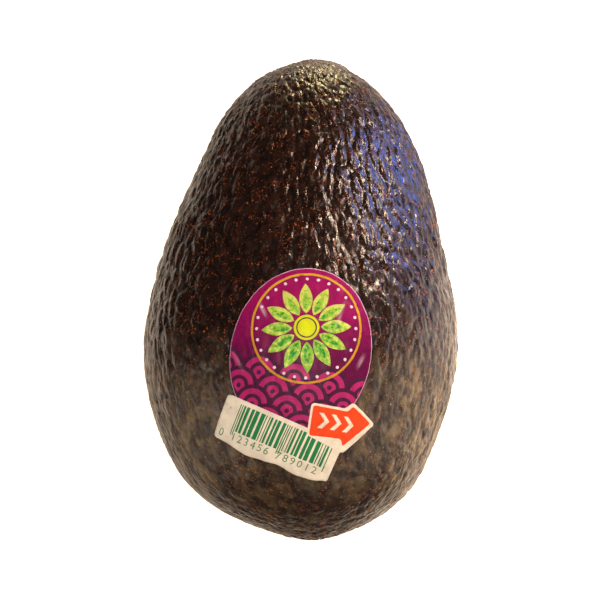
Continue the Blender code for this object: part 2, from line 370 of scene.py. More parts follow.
def flattened(points):
    """The flat label coordinates of the body's points; those of the underside are far away."""
    station, length = meridian()
    half = half_width(points[:, 1]) + 0.01 * MM
    sine = (points[:, 0] - series(BEND, polar_angle(points[:, 1]))) / half
    across = np.arcsin(np.clip(sine, -1.0, 1.0)) * half
    flat = np.stack((across - LABEL_SHIFT, np.interp(points[:, 1], station, length)), axis=1)
    flat[points[:, 2] < 0] += 1.0
    return flat


def wrapped(flat):
    """The body's points under flat label points, which keep their lengths along both axes."""
    station, length = meridian()
    along = np.interp(flat[:, 1], length, station)
    across = (flat[:, 0] + LABEL_SHIFT) / half_width(along)
    sine = np.sin(polar_angle(along))
    directions = np.stack((sine * np.sin(across), along / (LENGTH / 2), sine * np.cos(across)), axis=1)
    return body_points(directions)


# The skin's height


def unrolled(points):
    """The body's points with the narrowing towards its ends undone, and a lean and a wander added."""
    station, length = meridian()
    fullness = half_width(points[:, 1]) / half_width(station).max()
    narrowed = NARROWEST + (1 - NARROWEST) * fullness
    along = np.interp(points[:, 1], station, length)
    lean = LEAN * (1 + np.clip(points[:, 0] / LEAN_REACH, -1.0, 1.0))
    straight = np.stack((points[:, 0] / narrowed + lean * along, along, points[:, 2] / narrowed), axis=1)
    wander = np.stack([cloud(straight, WANDER_SIZE, seed) for seed in (1, 2, 3)], axis=1)
    return straight + WANDER * wander


def skin_height(points):
    """How far the skin stands out of the body, each point's height on its pebble and its unrolled place."""
    straight = unrolled(points)
    pebble, dome, slant = pebbles(straight, PEBBLE_CELL, 11)
    grain, _, _ = pebbles(straight, GRAIN_CELL, 12)
    patch = cloud(straight, PATCH_SIZE, 13)
    share = points[:, 1] / (LENGTH / 2)
    stem_share = smooth_step(-0.75, 0.35, share)
    strength = (0.50 + 0.50 * stem_share) * (1 + 0.25 * patch)
    calm = 1 - 0.3 * smooth_step(0.55, 0.90, share)
    strength *= calm
    height = strength * PEBBLE_HEIGHT * (0.65 * pebble + 0.35 * dome - 0.65)
    height += strength * PEBBLE_TILT * pebble * slant
    height += calm * GRAIN_HEIGHT * (grain - 0.6) * (0.7 + 0.3 * patch)
    height += SWELL_HEIGHT * cloud(straight, SWELL_SIZE, 14) * (0.5 + 0.5 * stem_share)
    height -= DENT_DEPTH * np.exp(-(((points - DENT_PLACE) / DENT_REACH) ** 2).sum(axis=1))
    from_stem = np.linalg.norm(points - np.array(stem_frame().translation), axis=1)
    height *= 0.25 + 0.75 * smooth_step(0.8 * DIMPLE_RADIUS, 3 * DIMPLE_RADIUS, from_stem)
    height -= DIMPLE_DEPTH * np.exp(-((from_stem / DIMPLE_RADIUS) ** 2))
    height += RIM_HEIGHT * np.exp(-(((from_stem - RIM_RADIUS) / RIM_WIDTH) ** 2))
    crest = np.clip(0.65 * pebble * (0.4 + 0.6 * dome) + 0.35 * grain, 0.0, 1.0)
    return height, crest, straight


def pressed_height(points, flat):
    """The skin's height, with its relief pressed flatter under the label."""
    height, crest, straight = skin_height(points)
    under = 1 - smooth_step(0.3 * MM, 2.0 * MM, label_distance(flat))
    return height * (1 - under * (1 - PRESSED)), crest, straight


# Meshes


def mesh_object(name, points, faces, to_world=TO_WORLD):
    mesh = bpy.data.meshes.new(name)
    mesh.from_pydata([to_world @ Vector(p) for p in points], [], faces)
    mesh.shade_smooth()
    made = bpy.data.objects.new(name, mesh)
    bpy.context.scene.collection.objects.link(made)
    return made


def vertex_values(mesh, name, values):
    data = mesh.attributes.new(name, "FLOAT", "POINT").data
    data.foreach_set("value", np.asarray(values, dtype=np.float32))


def vertex_vectors(mesh, name, vectors):
    data = mesh.attributes.new(name, "FLOAT_VECTOR", "POINT").data
    data.foreach_set("vector", np.asarray(vectors, dtype=np.float32).ravel())


def set_map(mesh, places):
    """Gives the mesh its flat map, from one place for each of its face corners."""
    layer = mesh.uv_layers.new(name="OFBake")
    layer.data.foreach_set("uv", np.asarray(places, dtype=np.float32).ravel())


def cube_ball():
    """Unit directions, the four corners of each face, and their places on a map of a cube's six sides."""
    steps = np.linspace(-1, 1, BALL_CELLS + 1)
    a, b = (grid.ravel() for grid in np.meshgrid(steps, steps, indexing="ij"))
    first = np.arange(BALL_CELLS)
    start = (first[:, None] * (BALL_CELLS + 1) + first).ravel()
    quad = np.stack((start, start + BALL_CELLS + 1, start + BALL_CELLS + 2, start + 1), axis=1)
    points, faces, places = [], [], []
    sides = [(axis, sign) for axis in range(3) for sign in (1, -1)]
    for index, (axis, sign) in enumerate(sides):
        side = np.empty((len(a), 3))
        side[:, axis] = sign
        side[:, (axis + 1) % 3] = a
        side[:, (axis + 2) % 3] = b * sign
        corner = np.array((index % 3, index // 3)) + 0.5
        map_place = (corner + MAP_FILL * np.stack((a, b), axis=1)) / (3, 2)
        points.append(side)
        faces.append(quad + index * len(a))
        places.append(map_place[quad].reshape(-1, 2))
    points = np.tan(np.concatenate(points) * math.pi / 4)
    faces = np.concatenate(faces)
    _, keep, joined = np.unique(np.round(points, 6), axis=0, return_index=True, return_inverse=True)
    points = points[keep]
    directions = points / np.linalg.norm(points, axis=1, keepdims=True)
    return directions, joined.ravel()[faces], np.concatenate(places)


def outward_of(points, faces):
    """Unit normals of a closed smooth body at its points."""
    normals = np.zeros_like(points)
    across = points[faces[:, 2]] - points[faces[:, 0]]
    along = points[faces[:, 3]] - points[faces[:, 1]]
    face_normals = np.cross(across, along)
    for corner in range(4):
        np.add.at(normals, faces[:, corner], face_normals)
    return normals / np.linalg.norm(normals, axis=1, keepdims=True)


def make_skin():
    """The whole fruit: the smooth body raised by the skin's relief and flattened where it rests."""
    directions, faces, places = cube_ball()
    smooth = body_points(directions)
    outward = outward_of(smooth, faces)
    height, crest, straight = pressed_height(smooth, flattened(smooth))
    raised = smooth + outward * height[:, None]

    from_cup = np.array([stem_frame().inverted() @ Vector(p) for p in raised])
    radius = np.hypot(from_cup[:, 0], from_cup[:, 1])
    in_cup = (1 - smooth_step(CUP_RADIUS - 0.5 * MM, CUP_RADIUS + 0.2 * MM, radius)) * (raised[:, 1] > 0)
    raised -= np.array(stem_frame().col[2][:3]) * (in_cup * CUP_SUNK)[:, None]

    skin = mesh_object("skin", raised, faces.tolist())
    mesh = skin.data
    floor_height = np.array([v.co.z for v in mesh.vertices])
    for vert in mesh.vertices:
        vert.co.z = max(vert.co.z, 0.0)
    set_map(mesh, places)
    vertex_values(mesh, "crest", crest)
    vertex_vectors(mesh, "straight", straight / MM)
    vertex_values(mesh, "station", smooth[:, 1] / LENGTH + 0.5)
    vertex_values(mesh, "worn", smooth_step(0.6 * MM, -0.2 * MM, floor_height))
    mesh.materials.append(skin_material())
    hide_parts("fruit")
    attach(skin, "root")


# Materials


class Nodes:
    """A material's node tree and its shader, with short ways to add and join nodes."""

    def __init__(self, name):
        self.material = bpy.data.materials.new(name)
        self.material.use_nodes = True
        self.tree = self.material.node_tree
        self.shader = self.tree.nodes["Principled BSDF"]

    def put(self, socket, value):
        if isinstance(value, bpy.types.NodeSocket):
            self.tree.links.new(value, socket)
        elif isinstance(value, tuple) and len(value) == 3 and socket.type == "RGBA":
            socket.default_value = (*value, 1.0)
        else:
            socket.default_value = value

    def add(self, kind, inputs=None, **settings):
        node = self.tree.nodes.new(kind)
        for key, value in settings.items():
            setattr(node, key, value)
        for key, value in (inputs or {}).items():
            self.put(node.inputs[key], value)
        return node

    def set(self, **values):
        for key, value in values.items():
            self.put(self.shader.inputs[key.replace("_", " ")], value)

    def value(self, name):
        return self.add("ShaderNodeAttribute", attribute_name=name).outputs["Fac"]

    def vector(self, name, stretch):
        """A stored vector, each part divided by a stretch."""
        stored = self.add("ShaderNodeAttribute", attribute_name=name).outputs["Vector"]
        inputs = {0: stored, 1: tuple(1 / part for part in stretch)}
        return self.add("ShaderNodeVectorMath", inputs, operation="MULTIPLY").outputs["Vector"]

    def place(self):
        """Places on the object in millimetres."""
        coordinates = self.add("ShaderNodeTexCoord").outputs["Object"]
        scaled = self.add("ShaderNodeVectorMath", {0: coordinates, 3: 1 / MM}, operation="SCALE")
        return scaled.outputs["Vector"]

    def noise(self, vector, size, detail=2.0, roughness=0.5):
        inputs = {"Vector": vector, "Scale": 1 / size, "Detail": detail, "Roughness": roughness}
        return self.add("ShaderNodeTexNoise", inputs).outputs["Fac"]

    def cells(self, vector, size):
        """Distance to the nearest of scattered spots, in cells, and that spot's random colour."""
        node = self.add("ShaderNodeTexVoronoi", {"Vector": vector, "Scale": 1 / size})
        return node.outputs["Distance"], node.outputs["Color"]

    def step(self, value, low, high, to_low=0.0, to_high=1.0):
        inputs = {"Value": value, "From Min": low, "From Max": high, "To Min": to_low, "To Max": to_high}
        return self.add("ShaderNodeMapRange", inputs, interpolation_type="SMOOTHSTEP").outputs["Result"]

    def math(self, operation, *values):
        node = self.add("ShaderNodeMath", operation=operation)
        for socket, value in zip(node.inputs, values):
            self.put(socket, value)
        return node.outputs[0]

    def mix(self, share, first, second, blend="MIX"):
        node = self.add("ShaderNodeMix", data_type="RGBA", blend_type=blend)
        self.put(node.inputs[0], share)
        self.put(node.inputs[6], first)
        self.put(node.inputs[7], second)
        return node.outputs[2]

    def bump(self, height, depth, below=None):
        """A bump of that depth, in metres, over the one below."""
        inputs = {"Height": height, "Distance": depth}
        if below is not None:
            inputs["Normal"] = below
        return self.add("ShaderNodeBump", inputs).outputs["Normal"]


def brown_share(nodes, place, station):
    """How brown the skin is: 0 at the stem end, up to 1 near the blossom end and most on the flanks."""
    across = nodes.add("ShaderNodeSeparateXYZ", {0: place}).outputs["X"]
    patches = nodes.noise(place, 18.0, 3.0)
    lower = nodes.math("ADD", station, nodes.step(patches, 0.3, 0.7, 0.07, -0.07))
    lower = nodes.math("ADD", lower, nodes.step(across, -5.0, 28.0, 0.0, -0.10))
    lower = nodes.step(lower, 0.37, 0.17)
    lower = nodes.math("MULTIPLY", lower, nodes.step(station, 0.0, 0.17, 0.35, 1.0))
    flank = nodes.step(nodes.math("ABSOLUTE", across), 10.0, 30.0, 0.6, 1.0)
    return nodes.math("MULTIPLY", lower, flank)


def corky_dots(nodes, place, crest):
    """Round dots of three sizes in clusters, fewer of them in the furrows."""
    clusters = nodes.step(nodes.noise(place, 2.4, 2.0), 0.42, 0.60)
    clusters = nodes.math("MULTIPLY", clusters, nodes.step(crest, 0.10, 0.45, 0.3, 1.0))
    dots = None
    for size, reach, share in ((1.10, 0.32, 0.58), (0.68, 0.36, 0.60), (0.44, 0.38, 0.55)):
        distance, which = nodes.cells(place, size)
        red = nodes.add("ShaderNodeSeparateColor", {0: which}).outputs[0]
        chosen = nodes.math("LESS_THAN", red, nodes.math("MULTIPLY_ADD", clusters, share, 0.07))
        dot = nodes.math("MULTIPLY", nodes.step(distance, reach, 0.4 * reach), chosen)
        dots = dot if dots is None else nodes.math("MAXIMUM", dots, dot)
    return dots


def skin_colour(nodes, place, crest, lower, grain, dots, worn):
    """Near-black with embers above and mottled brown below, with painted shade in the furrows, under the
    dots.
    """
    dark = nodes.mix(nodes.step(nodes.noise(place, 2.2, 4.0, 0.6), 0.42, 0.62), DEEP, EMBER)
    blotch = nodes.step(nodes.noise(nodes.vector("straight", (1, 1.6, 1)), 4.2, 4.0, 0.62), 0.42, 0.62)
    brown = nodes.mix(blotch, UMBER, TAN)
    brown = nodes.mix(nodes.step(nodes.noise(place, 3.1, 2.0), 0.52, 0.66, 0.0, 0.7), brown, MAROON)
    colour = nodes.mix(lower, dark, brown)
    # Painted shade: darker where the crest is low, in the furrows between the pebbles.
    colour = nodes.mix(nodes.step(crest, 0.10, 0.50, 0.6, 0.0), colour, FURROW_SHADE)
    colour = nodes.mix(nodes.step(grain, 0.50, 0.70, 0.0, 0.5), colour, nodes.mix(lower, RUSSET, DRAB))
    bright = nodes.step(nodes.noise(place, 0.8, 2.0), 0.40, 0.70)
    dot_colour = nodes.mix(lower, nodes.mix(bright, *RUST), nodes.mix(bright, *OCHRE))
    colour = nodes.mix(nodes.math("MULTIPLY", dots, 0.85), colour, dot_colour)
    return nodes.mix(nodes.math("MULTIPLY", worn, 0.5), colour, WORN)


def skin_roughness(nodes, place, lower, dots, worn):
    """Waxy, and duller on the brown, on the dots and where the fruit rests."""
    roughness = nodes.step(nodes.noise(place, 3.0, 3.0), 0.3, 0.7, 0.22, 0.32)
    for share, more in ((lower, 0.18), (dots, 0.15), (worn, 0.2)):
        roughness = nodes.math("ADD", roughness, nodes.math("MULTIPLY", share, more))
    return roughness


def skin_gloss(nodes, station):
    """Less gloss at the blossom end, and at the rims above the middle, where the skin is seen edge-on."""
    gloss = nodes.step(station, 0.02, 0.22, 0.22, 0.5)
    edge_on = nodes.add("ShaderNodeLayerWeight", {"Blend": 0.5}).outputs["Facing"]
    dulled = nodes.step(station, 0.35, 0.65, 0.40, 0.80)
    dulled = nodes.math("MULTIPLY", nodes.step(edge_on, 0.25, 0.75), dulled)
    return nodes.math("MULTIPLY", gloss, nodes.math("SUBTRACT", 1.0, dulled))


def skin_material():
    """Near-black waxy skin: browner towards the blossom end, with rusty corky dots and a fine grain."""
    nodes = Nodes("avocado_skin")
    place = nodes.place()
    station = nodes.value("station")
    crest = nodes.value("crest")
    worn = nodes.value("worn")
    lower = brown_share(nodes, place, station)
    grain = nodes.noise(nodes.vector("straight", (1, 1.4, 1)), 0.5, 3.0, 0.65)
    dots = corky_dots(nodes, place, crest)
    colour = skin_colour(nodes, place, crest, lower, grain, dots, worn)
    roughness = skin_roughness(nodes, place, lower, dots, worn)
    gloss = skin_gloss(nodes, station)
    wrinkles, _ = nodes.cells(nodes.vector("straight", (1, 1.9, 1)), 1.2)
    bumps = nodes.bump(nodes.step(wrinkles, 0.85, 0.10), 0.11 * MM)
    bumps = nodes.bump(grain, 0.035 * MM, bumps)
    bumps = nodes.bump(dots, 0.03 * MM, bumps)
    nodes.set(Base_Color=colour, Roughness=roughness, Specular_IOR_Level=gloss, Normal=bumps)
    return nodes.material


def wood_material():
    """Dry grey-brown bark, darker in its cracks."""
    nodes = Nodes("stem_bark")
    place = nodes.place()
    noise = nodes.noise(place, 0.9, 4.0, 0.6)
    colour = nodes.mix(nodes.step(noise, 0.3, 0.7), (0.035, 0.020, 0.012), (0.22, 0.14, 0.080))
    colour = nodes.mix(nodes.step(nodes.value("hollow"), 0.0, 1.0, 0.0, 0.7), colour, (0.02, 0.012, 0.008))
    nodes.set(Base_Color=colour, Roughness=nodes.step(noise, 0.3, 0.7, 0.95, 0.7))
    nodes.set(Normal=nodes.bump(noise, 0.25 * MM))
    return nodes.material


def film_material(name, colour, other, screen, mottle):
    """Printed film: ink that turns into another down the label, finely screened, with a painted highlight
    along creases.
    """
    nodes = Nodes(name)
    place = nodes.place()
    flat = nodes.add("ShaderNodeUVMap", uv_map="flat").outputs["UV"]
    rise = nodes.add("ShaderNodeSeparateXYZ", {0: flat}).outputs["Y"]
    crumple = nodes.noise(flat, 1.1, 3.0, 0.6)
    drift = nodes.math("ADD", rise, nodes.step(crumple, 0.3, 0.7, -mottle, mottle))
    ink = nodes.mix(nodes.step(drift, -4.0, 13.0), other, colour)
    lines = []
    for turn in (SCREEN_TURN, SCREEN_TURN + math.pi / 2):
        turned = nodes.add("ShaderNodeMapping", {"Vector": flat, "Rotation": (0, 0, turn)})
        across = nodes.add("ShaderNodeSeparateXYZ", {0: turned.outputs["Vector"]}).outputs["X"]
        lines.append(nodes.math("SINE", nodes.math("MULTIPLY", across, 2 * math.pi / SCREEN_PITCH)))
    shade = nodes.step(nodes.math("MAXIMUM", *lines), 0.3, 1.0, 1.0, 1.0 - screen)
    blotch = nodes.step(nodes.noise(place, 2.5, 3.0), 0.3, 0.7, 0.90, 1.06)
    shade = nodes.math("MULTIPLY", shade, blotch)
    shade = nodes.add("ShaderNodeCombineColor", {0: shade, 1: shade, 2: shade}).outputs[0]
    ink = nodes.mix(1.0, ink, shade, "MULTIPLY")
    # Painted highlight: paler ink along the creases.
    ink = nodes.mix(nodes.math("MULTIPLY", nodes.value("crease"), 0.6), ink, CREASE_HIGHLIGHT)
    roughness = nodes.step(nodes.noise(place, 1.4, 3.0), 0.3, 0.7, 0.38, 0.48)
    nodes.set(Base_Color=ink, Roughness=roughness, Specular_IOR_Level=0.14)
    nodes.set(Normal=nodes.bump(nodes.noise(place, 1.2, 2.0), 0.02 * MM))
    return nodes.material


# The label


# Each ink's colour in the upper part of the label and in the lower part, its screen and its mottling.
INKS = {
    "magenta": ((0.40, 0.006, 0.125), (0.150, 0.004, 0.062), 0.32, 2.0),
    "plum": ((0.085, 0.010, 0.050), (0.075, 0.012, 0.045), 0.10, 2.0),
    "pink": ((0.56, 0.020, 0.20), (0.50, 0.022, 0.150), 0.12, 2.0),
    "leaf": ((0.70, 0.74, 0.14), (0.26, 0.54, 0.045), 0.05, 14.0),
    "vein": ((0.36, 0.62, 0.060), (0.026, 0.31, 0.028), 0.05, 14.0),
    "yellow": ((0.72, 0.76, 0.010), (0.66, 0.70, 0.010), 0.03, 2.0),
    "white": ((0.92, 0.74, 0.86), (0.88, 0.66, 0.80), 0.03, 2.0),
    "gold": ((0.74, 0.40, 0.020), (0.66, 0.30, 0.020), 0.08, 2.0),
    "cream": ((0.95, 0.79, 0.63), (0.95, 0.80, 0.62), 0.02, 2.0),
    "green": ((0.025, 0.24, 0.075), (0.025, 0.24, 0.075), 0.02, 2.0),
    "digit": ((0.11, 0.28, 0.12), (0.11, 0.28, 0.12), 0.02, 2.0),
    "orange": ((1.0, 0.075, 0.015), (1.0, 0.075, 0.015), 0.02, 2.0),
    "edge": ((0.85, 0.50, 0.64), (0.60, 0.30, 0.42), 0.02, 2.0),
}


def ring(radius, width, centre):
    return [ellipse((reach, reach), centre, sides=72) for reach in (radius, radius - width)]


def leaf(start, end, breadth, angle, centre):
    """A pointed leaf along a ray from a centre."""
    side = []
    steps = 12
    for index in range(steps + 1):
        share = index / steps
        bulge = math.sin(math.pi * share) ** 0.8 * (1.15 - 0.3 * share)
        side.append((start + (end - start) * share, breadth * bulge))
    outline = side + [(u, -v) for u, v in reversed(side[1:-1])]
    return placed(outline, centre, angle)


def digit_mesh(text):
    """A new flat mesh of one digit in the built-in font."""
    font = bpy.data.curves.new("digit", "FONT")
    font.body = text
    font.size = 1.0
    font.resolution_u = 3
    holder = bpy.data.objects.new("digit", font)
    bpy.context.scene.collection.objects.link(holder)
    bpy.context.view_layer.update()
    mesh = bpy.data.meshes.new_from_object(holder.evaluated_get(bpy.context.evaluated_depsgraph_get()))
    bpy.data.objects.remove(holder)
    bpy.data.curves.remove(font)
    return mesh


def rim_outlines(bm):
    """The closed outlines along the open edges of a flat mesh."""
    rim = [edge for edge in bm.edges if edge.is_boundary]
    outlines = []
    while rim:
        edge = rim.pop(0)
        start, vert = edge.verts
        outline = [start.co.xy.copy(), vert.co.xy.copy()]
        while True:
            edge = next((e for e in vert.link_edges if e in rim), None)
            if edge is None:
                break
            rim.remove(edge)
            vert = edge.other_vert(vert)
            if vert is start:
                break
            outline.append(vert.co.xy.copy())
        outlines.append(outline)
    return outlines


def digit_outlines(text, height):
    """The closed outlines of one plain digit of that height, its middle at the origin."""
    mesh = digit_mesh(text)
    bm = bmesh.new()
    bm.from_mesh(mesh)
    bmesh.ops.remove_doubles(bm, verts=bm.verts[:], dist=1e-4)
    outlines = rim_outlines(bm)
    bm.free()
    bpy.data.meshes.remove(mesh)
    corners = [c for outline in outlines for c in outline]
    low = Vector([min(c[i] for c in corners) for i in (0, 1)])
    high = Vector([max(c[i] for c in corners) for i in (0, 1)])
    scale = height / (high.y - low.y)
    middle = (low + high) / 2
    return [[(c - middle) * scale for c in outline] for outline in outlines]


def scallop_shapes():
    """Rows of nested discs, each row half a step aside of the one above."""
    shapes = []
    for row in range(SCALLOP_ROWS):
        level = SCALLOP_TOP - row * SCALLOP_STEPS[1]
        for column in range(-4, 5):
            centre = ((column + 0.5 * (row % 2)) * SCALLOP_STEPS[0], level)
            for ink, share in SCALLOP_INKS:
                shapes.append((ink, [ellipse((share * SCALLOP, share * SCALLOP), centre, sides=40)]))
    return shapes


def rosette_shapes():
    """A ring, a circle of dots and twelve leaves around a round heart."""
    middle = ROSETTE_MIDDLE
    shapes = [("gold", ring(*ROSETTE_RING, middle))]
    dots, reach, radius = ROSETTE_DOTS
    for index in range(dots):
        angle = 2 * math.pi * index / dots
        centre = (middle[0] + reach * math.cos(angle), middle[1] + reach * math.sin(angle))
        shapes.append(("white", [ellipse((radius, radius), centre, sides=14)]))
    for index in range(ROSETTE_LEAVES):
        angle = 2 * math.pi * (index + 0.5) / ROSETTE_LEAVES
        shapes.append(("leaf", [leaf(*ROSETTE_LEAF, angle, middle)]))
        shapes.append(("vein", [leaf(*ROSETTE_VEIN, angle, middle)]))
    shapes.append(("yellow", [ellipse((ROSETTE_HEART, ROSETTE_HEART), middle)]))
    shapes.append(("plum", ring(*HEART_RING, middle)))
    return shapes


def oval_shapes():
    """The made-up pattern on the oval, each shape as an ink and its outlines."""
    spin = Matrix.Rotation(OVAL_TURN, 2)
    shapes = []
    for ink, outlines in scallop_shapes() + rosette_shapes():
        shapes.append((ink, [[spin @ corner for corner in outline] for outline in outlines]))
    inner = ellipse([radius - OVAL_RIM for radius in OVAL_RADII], turn=OVAL_TURN, sides=120)
    shapes.append(("edge", [oval_outline(), inner]))
    return shapes


def printed(ink, outlines):
    """A shape on the panel, from outlines in the panel's own frame."""
    return ink, [placed(outline, PANEL_CENTRE, PANEL_TURN) for outline in outlines]


def bar_shapes():
    """Plain bars in a repeating rule, longer ones at both ends and in the middle."""
    shapes = []
    at, index = 0, 0
    while at < BAR_MODULES:
        is_guard = at < 3 or abs(at - BAR_MODULES / 2) < 3 or at >= BAR_MODULES - 3
        wide = 1 if is_guard else 1 + (index * index + index // 2) % 4
        wide = min(wide, BAR_MODULES - at)
        low = (BARS_START + at * BAR_MODULE, BARS_BOTTOM - GUARD_DROP if is_guard else BARS_BOTTOM)
        high = (BARS_START + (at + wide) * BAR_MODULE, BARS_TOP)
        shapes.append(printed("green", [box_corners(low, high)]))
        at += wide + (1 if is_guard else 1 + index % 2)
        index += 1
    return shapes


def digit_shapes():
    """Digits in counting order below the bars: one ahead of them, then two groups of six."""
    starts = [BARS_START - 2.2 * MM]
    for group in (4.5, 51.5):
        starts += [BARS_START + (group + 7 * order) * BAR_MODULE for order in range(6)]
    shapes = []
    for order, start in enumerate(starts):
        centre = Vector((start, DIGIT_ROW))
        outlines = [[c + centre for c in o] for o in digit_outlines(str(order % 10), DIGIT_HEIGHT)]
        shapes.append(printed("digit", outlines))
    return shapes


def panel_shapes():
    """The code panel: its cream ground, the bars and the digits."""
    return [("cream", [panel_outline()]), *bar_shapes(), *digit_shapes()]


def arrow_shapes():
    """The arrow: a cream border, an orange middle and three plain chevrons."""
    shapes = [("cream", [rounded(arrow_corners())])]
    shapes.append(("orange", [rounded([*ARROW_SHAFT, *ARROW_BARBS, *ARROW_TOP], 0.7 * CORNER)]))
    start = (ARROW_TAIL[0] + ARROW_TAIL[1]) / 2
    forward = ARROW_HEAD[1] - start
    turn = math.atan2(forward.y, forward.x) - math.radians(5)
    for index in range(3):
        back = CHEVRON_START + index * CHEVRON_STEP
        front = back + CHEVRON_WIDE
        outer = [(back, CHEVRON_HALF), (front, CHEVRON_HALF), (front + CHEVRON_REACH, 0)]
        inner = [(front, -CHEVRON_HALF), (back, -CHEVRON_HALF), (back + CHEVRON_REACH, 0)]
        shapes.append(("cream", [placed(outer + inner, start, turn)]))
    return shapes


def creases(flat):
    """How strong the film's few creases are at flat points, from 0 to 1."""
    strength = np.zeros(len(flat))
    for start, end, share_of_full in CREASES:
        start, end = np.array(start) * MM, np.array(end) * MM
        way = end - start
        share = np.clip((flat - start) @ way / (way @ way), 0.0, 1.0)
        away = np.linalg.norm(flat - start - share[:, None] * way, axis=1)
        ridge = np.exp(-((away / CREASE_WIDTH) ** 2)) * np.sin(math.pi * np.clip(share, 0.04, 0.96))
        strength = np.maximum(strength, share_of_full * ridge)
    return strength


def film_lift(flat, points):
    """How far the film's lower face is off the body: it lies on the pressed skin, with a few creases."""
    height, _, _ = pressed_height(points, flat)
    lift = height + FILM_GAP + CREASE_HEIGHT * creases(flat)
    spin = Matrix.Rotation(-PANEL_TURN, 2)
    local = np.array([spin @ (Vector(f) - PANEL_CENTRE) for f in flat])
    from_edge = local[:, 1] + PANEL_SIZE[1] / 2
    fading = np.exp(-np.clip(from_edge, 0, None) / RUFFLE_FADE) * (from_edge < PANEL_SIZE[1])
    for middle, width, depth in RUFFLES:
        lift += depth * np.exp(-(((local[:, 0] - middle) / width) ** 2)) * fading
    return lift


def film_grid():
    """Evenly scattered flat points inside the label, clear of its edge."""
    count = round(2 * FILM_REACH / FILM_GRID)
    u, v = (g.ravel() for g in np.meshgrid(np.arange(count), np.arange(count), indexing="ij"))
    across = (u + 0.5 * (v % 2)) * FILM_GRID - FILM_REACH
    grid = np.stack((across, v * FILM_GRID * 0.9 - FILM_REACH), axis=1)
    return grid[label_distance(grid) < -0.2 * MM]


def cut_film(shapes, borders):
    """The film's flat points and its triangles, which follow the edges of all the shapes."""
    points = [Vector(p) / MM for p in film_grid()]
    edges = []
    for _, outlines in shapes:
        for outline in outlines:
            first = len(points)
            points += [c / MM for c in outline]
            edges += [(first + k, first + (k + 1) % len(outline)) for k in range(len(outline))]
    flat, _, faces, *_ = delaunay_2d_cdt(points, edges, [], 0, 1e-4)
    flat = np.array(flat) * MM
    faces = np.array([face for face in faces if len(face) == 3])
    middles = flat[faces].mean(axis=1)
    kept = np.logical_or.reduce([is_inside(middles, border) for border in borders])
    used, faces = np.unique(faces[kept], return_inverse=True)
    return flat[used], faces.reshape(-1, 3)


def face_inks(middles, oval_part, other_part, oval):
    """The number of each triangle's ink, that of the last shape over its middle; the oval clips its own."""
    names = list(INKS)
    inks = np.zeros(len(middles), dtype=int)
    is_oval = is_inside(middles, oval)
    for part, on_part in ((oval_part, is_oval), (other_part, True)):
        for ink, outlines in part:
            inside = np.logical_xor.reduce([is_inside(middles, outline) for outline in outlines])
            inks[inside & on_part] = names.index(ink)
    return inks


def draped(flat):
    """The film's lower face over flat label points."""
    base = wrapped(flat)
    step = 0.05 * MM
    outward = np.cross(wrapped(flat + (step, 0)) - base, wrapped(flat + (0, step)) - base)
    outward /= np.linalg.norm(outward, axis=1, keepdims=True)
    return base + outward * film_lift(flat, base)[:, None]


def map_film(mesh, corners):
    """Gives the film two maps from its face corners' flat places: a unit one, and one in millimetres."""
    low, high = corners.min(axis=0), corners.max(axis=0)
    set_map(mesh, 0.01 + 0.98 * (corners - low) / (high - low).max())
    layer = mesh.uv_layers.new(name="flat")
    layer.data.foreach_set("uv", (corners / MM).astype(np.float32).ravel())


def make_label():
    """One film cut to its outline, printed, and draped over the pebbles."""
    oval = oval_outline()
    oval_part = [("magenta", [oval]), *oval_shapes()]
    other_part = panel_shapes() + arrow_shapes()
    flat, faces = cut_film(oval_part + other_part, (oval, panel_outline(), rounded(arrow_corners())))
    label = mesh_object("label_film", draped(flat), faces.tolist())
    mesh = label.data
    for name, ink in INKS.items():
        mesh.materials.append(film_material("ink_" + name, *ink))
    inks = face_inks(flat[faces].mean(axis=1), oval_part, other_part, oval)
    mesh.polygons.foreach_set("material_index", inks)
    vertex_values(mesh, "crease", creases(flat))
    map_film(mesh, flat[faces.ravel()])

    thick = label.modifiers.new("thickness", "SOLIDIFY")
    thick.thickness = FILM_THICKNESS
    thick.offset = 1.0
    # The cut edge takes the last of the inks.
    thick.material_offset_rim = len(INKS)
    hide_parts("label")
    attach(label, "root")


# The stem button


def turned_button():
    """The plug's points and faces, turned from its profile in its own frame, with Z out of the fruit."""
    out, up = np.array(BUTTON_PROFILE).T
    lengths = np.concatenate(([0.0], np.cumsum(np.hypot(np.diff(out), np.diff(up)))))
    levels = np.linspace(0, lengths[-1], BUTTON_RINGS)
    out = np.interp(levels, lengths, out) * BUTTON_RADIUS
    up = np.interp(levels, lengths, up) * BUTTON_HEIGHT
    turn = 2 * math.pi * np.arange(BUTTON_SIDES) / BUTTON_SIDES
    across, along = np.outer(out[1:-1], np.cos(turn)), np.outer(out[1:-1], np.sin(turn))
    rise = np.repeat(up[1:-1, None], BUTTON_SIDES, axis=1)
    rings = np.stack((across, along, rise), axis=2).reshape(-1, 3)
    points = np.vstack(((0, 0, up[0]), rings, (0, 0, up[-1])))
    faces = []
    last = len(points) - 1
    for side in range(BUTTON_SIDES):
        after = (side + 1) % BUTTON_SIDES
        for row in range(BUTTON_RINGS - 3):
            a, b = 1 + row * BUTTON_SIDES + side, 1 + row * BUTTON_SIDES + after
            faces.append((a, a + BUTTON_SIDES, b + BUTTON_SIDES, b))
        faces.append((0, 1 + side, 1 + after))
        faces.append((last, last - 1 - side, last - 1 - after))
    return points, faces


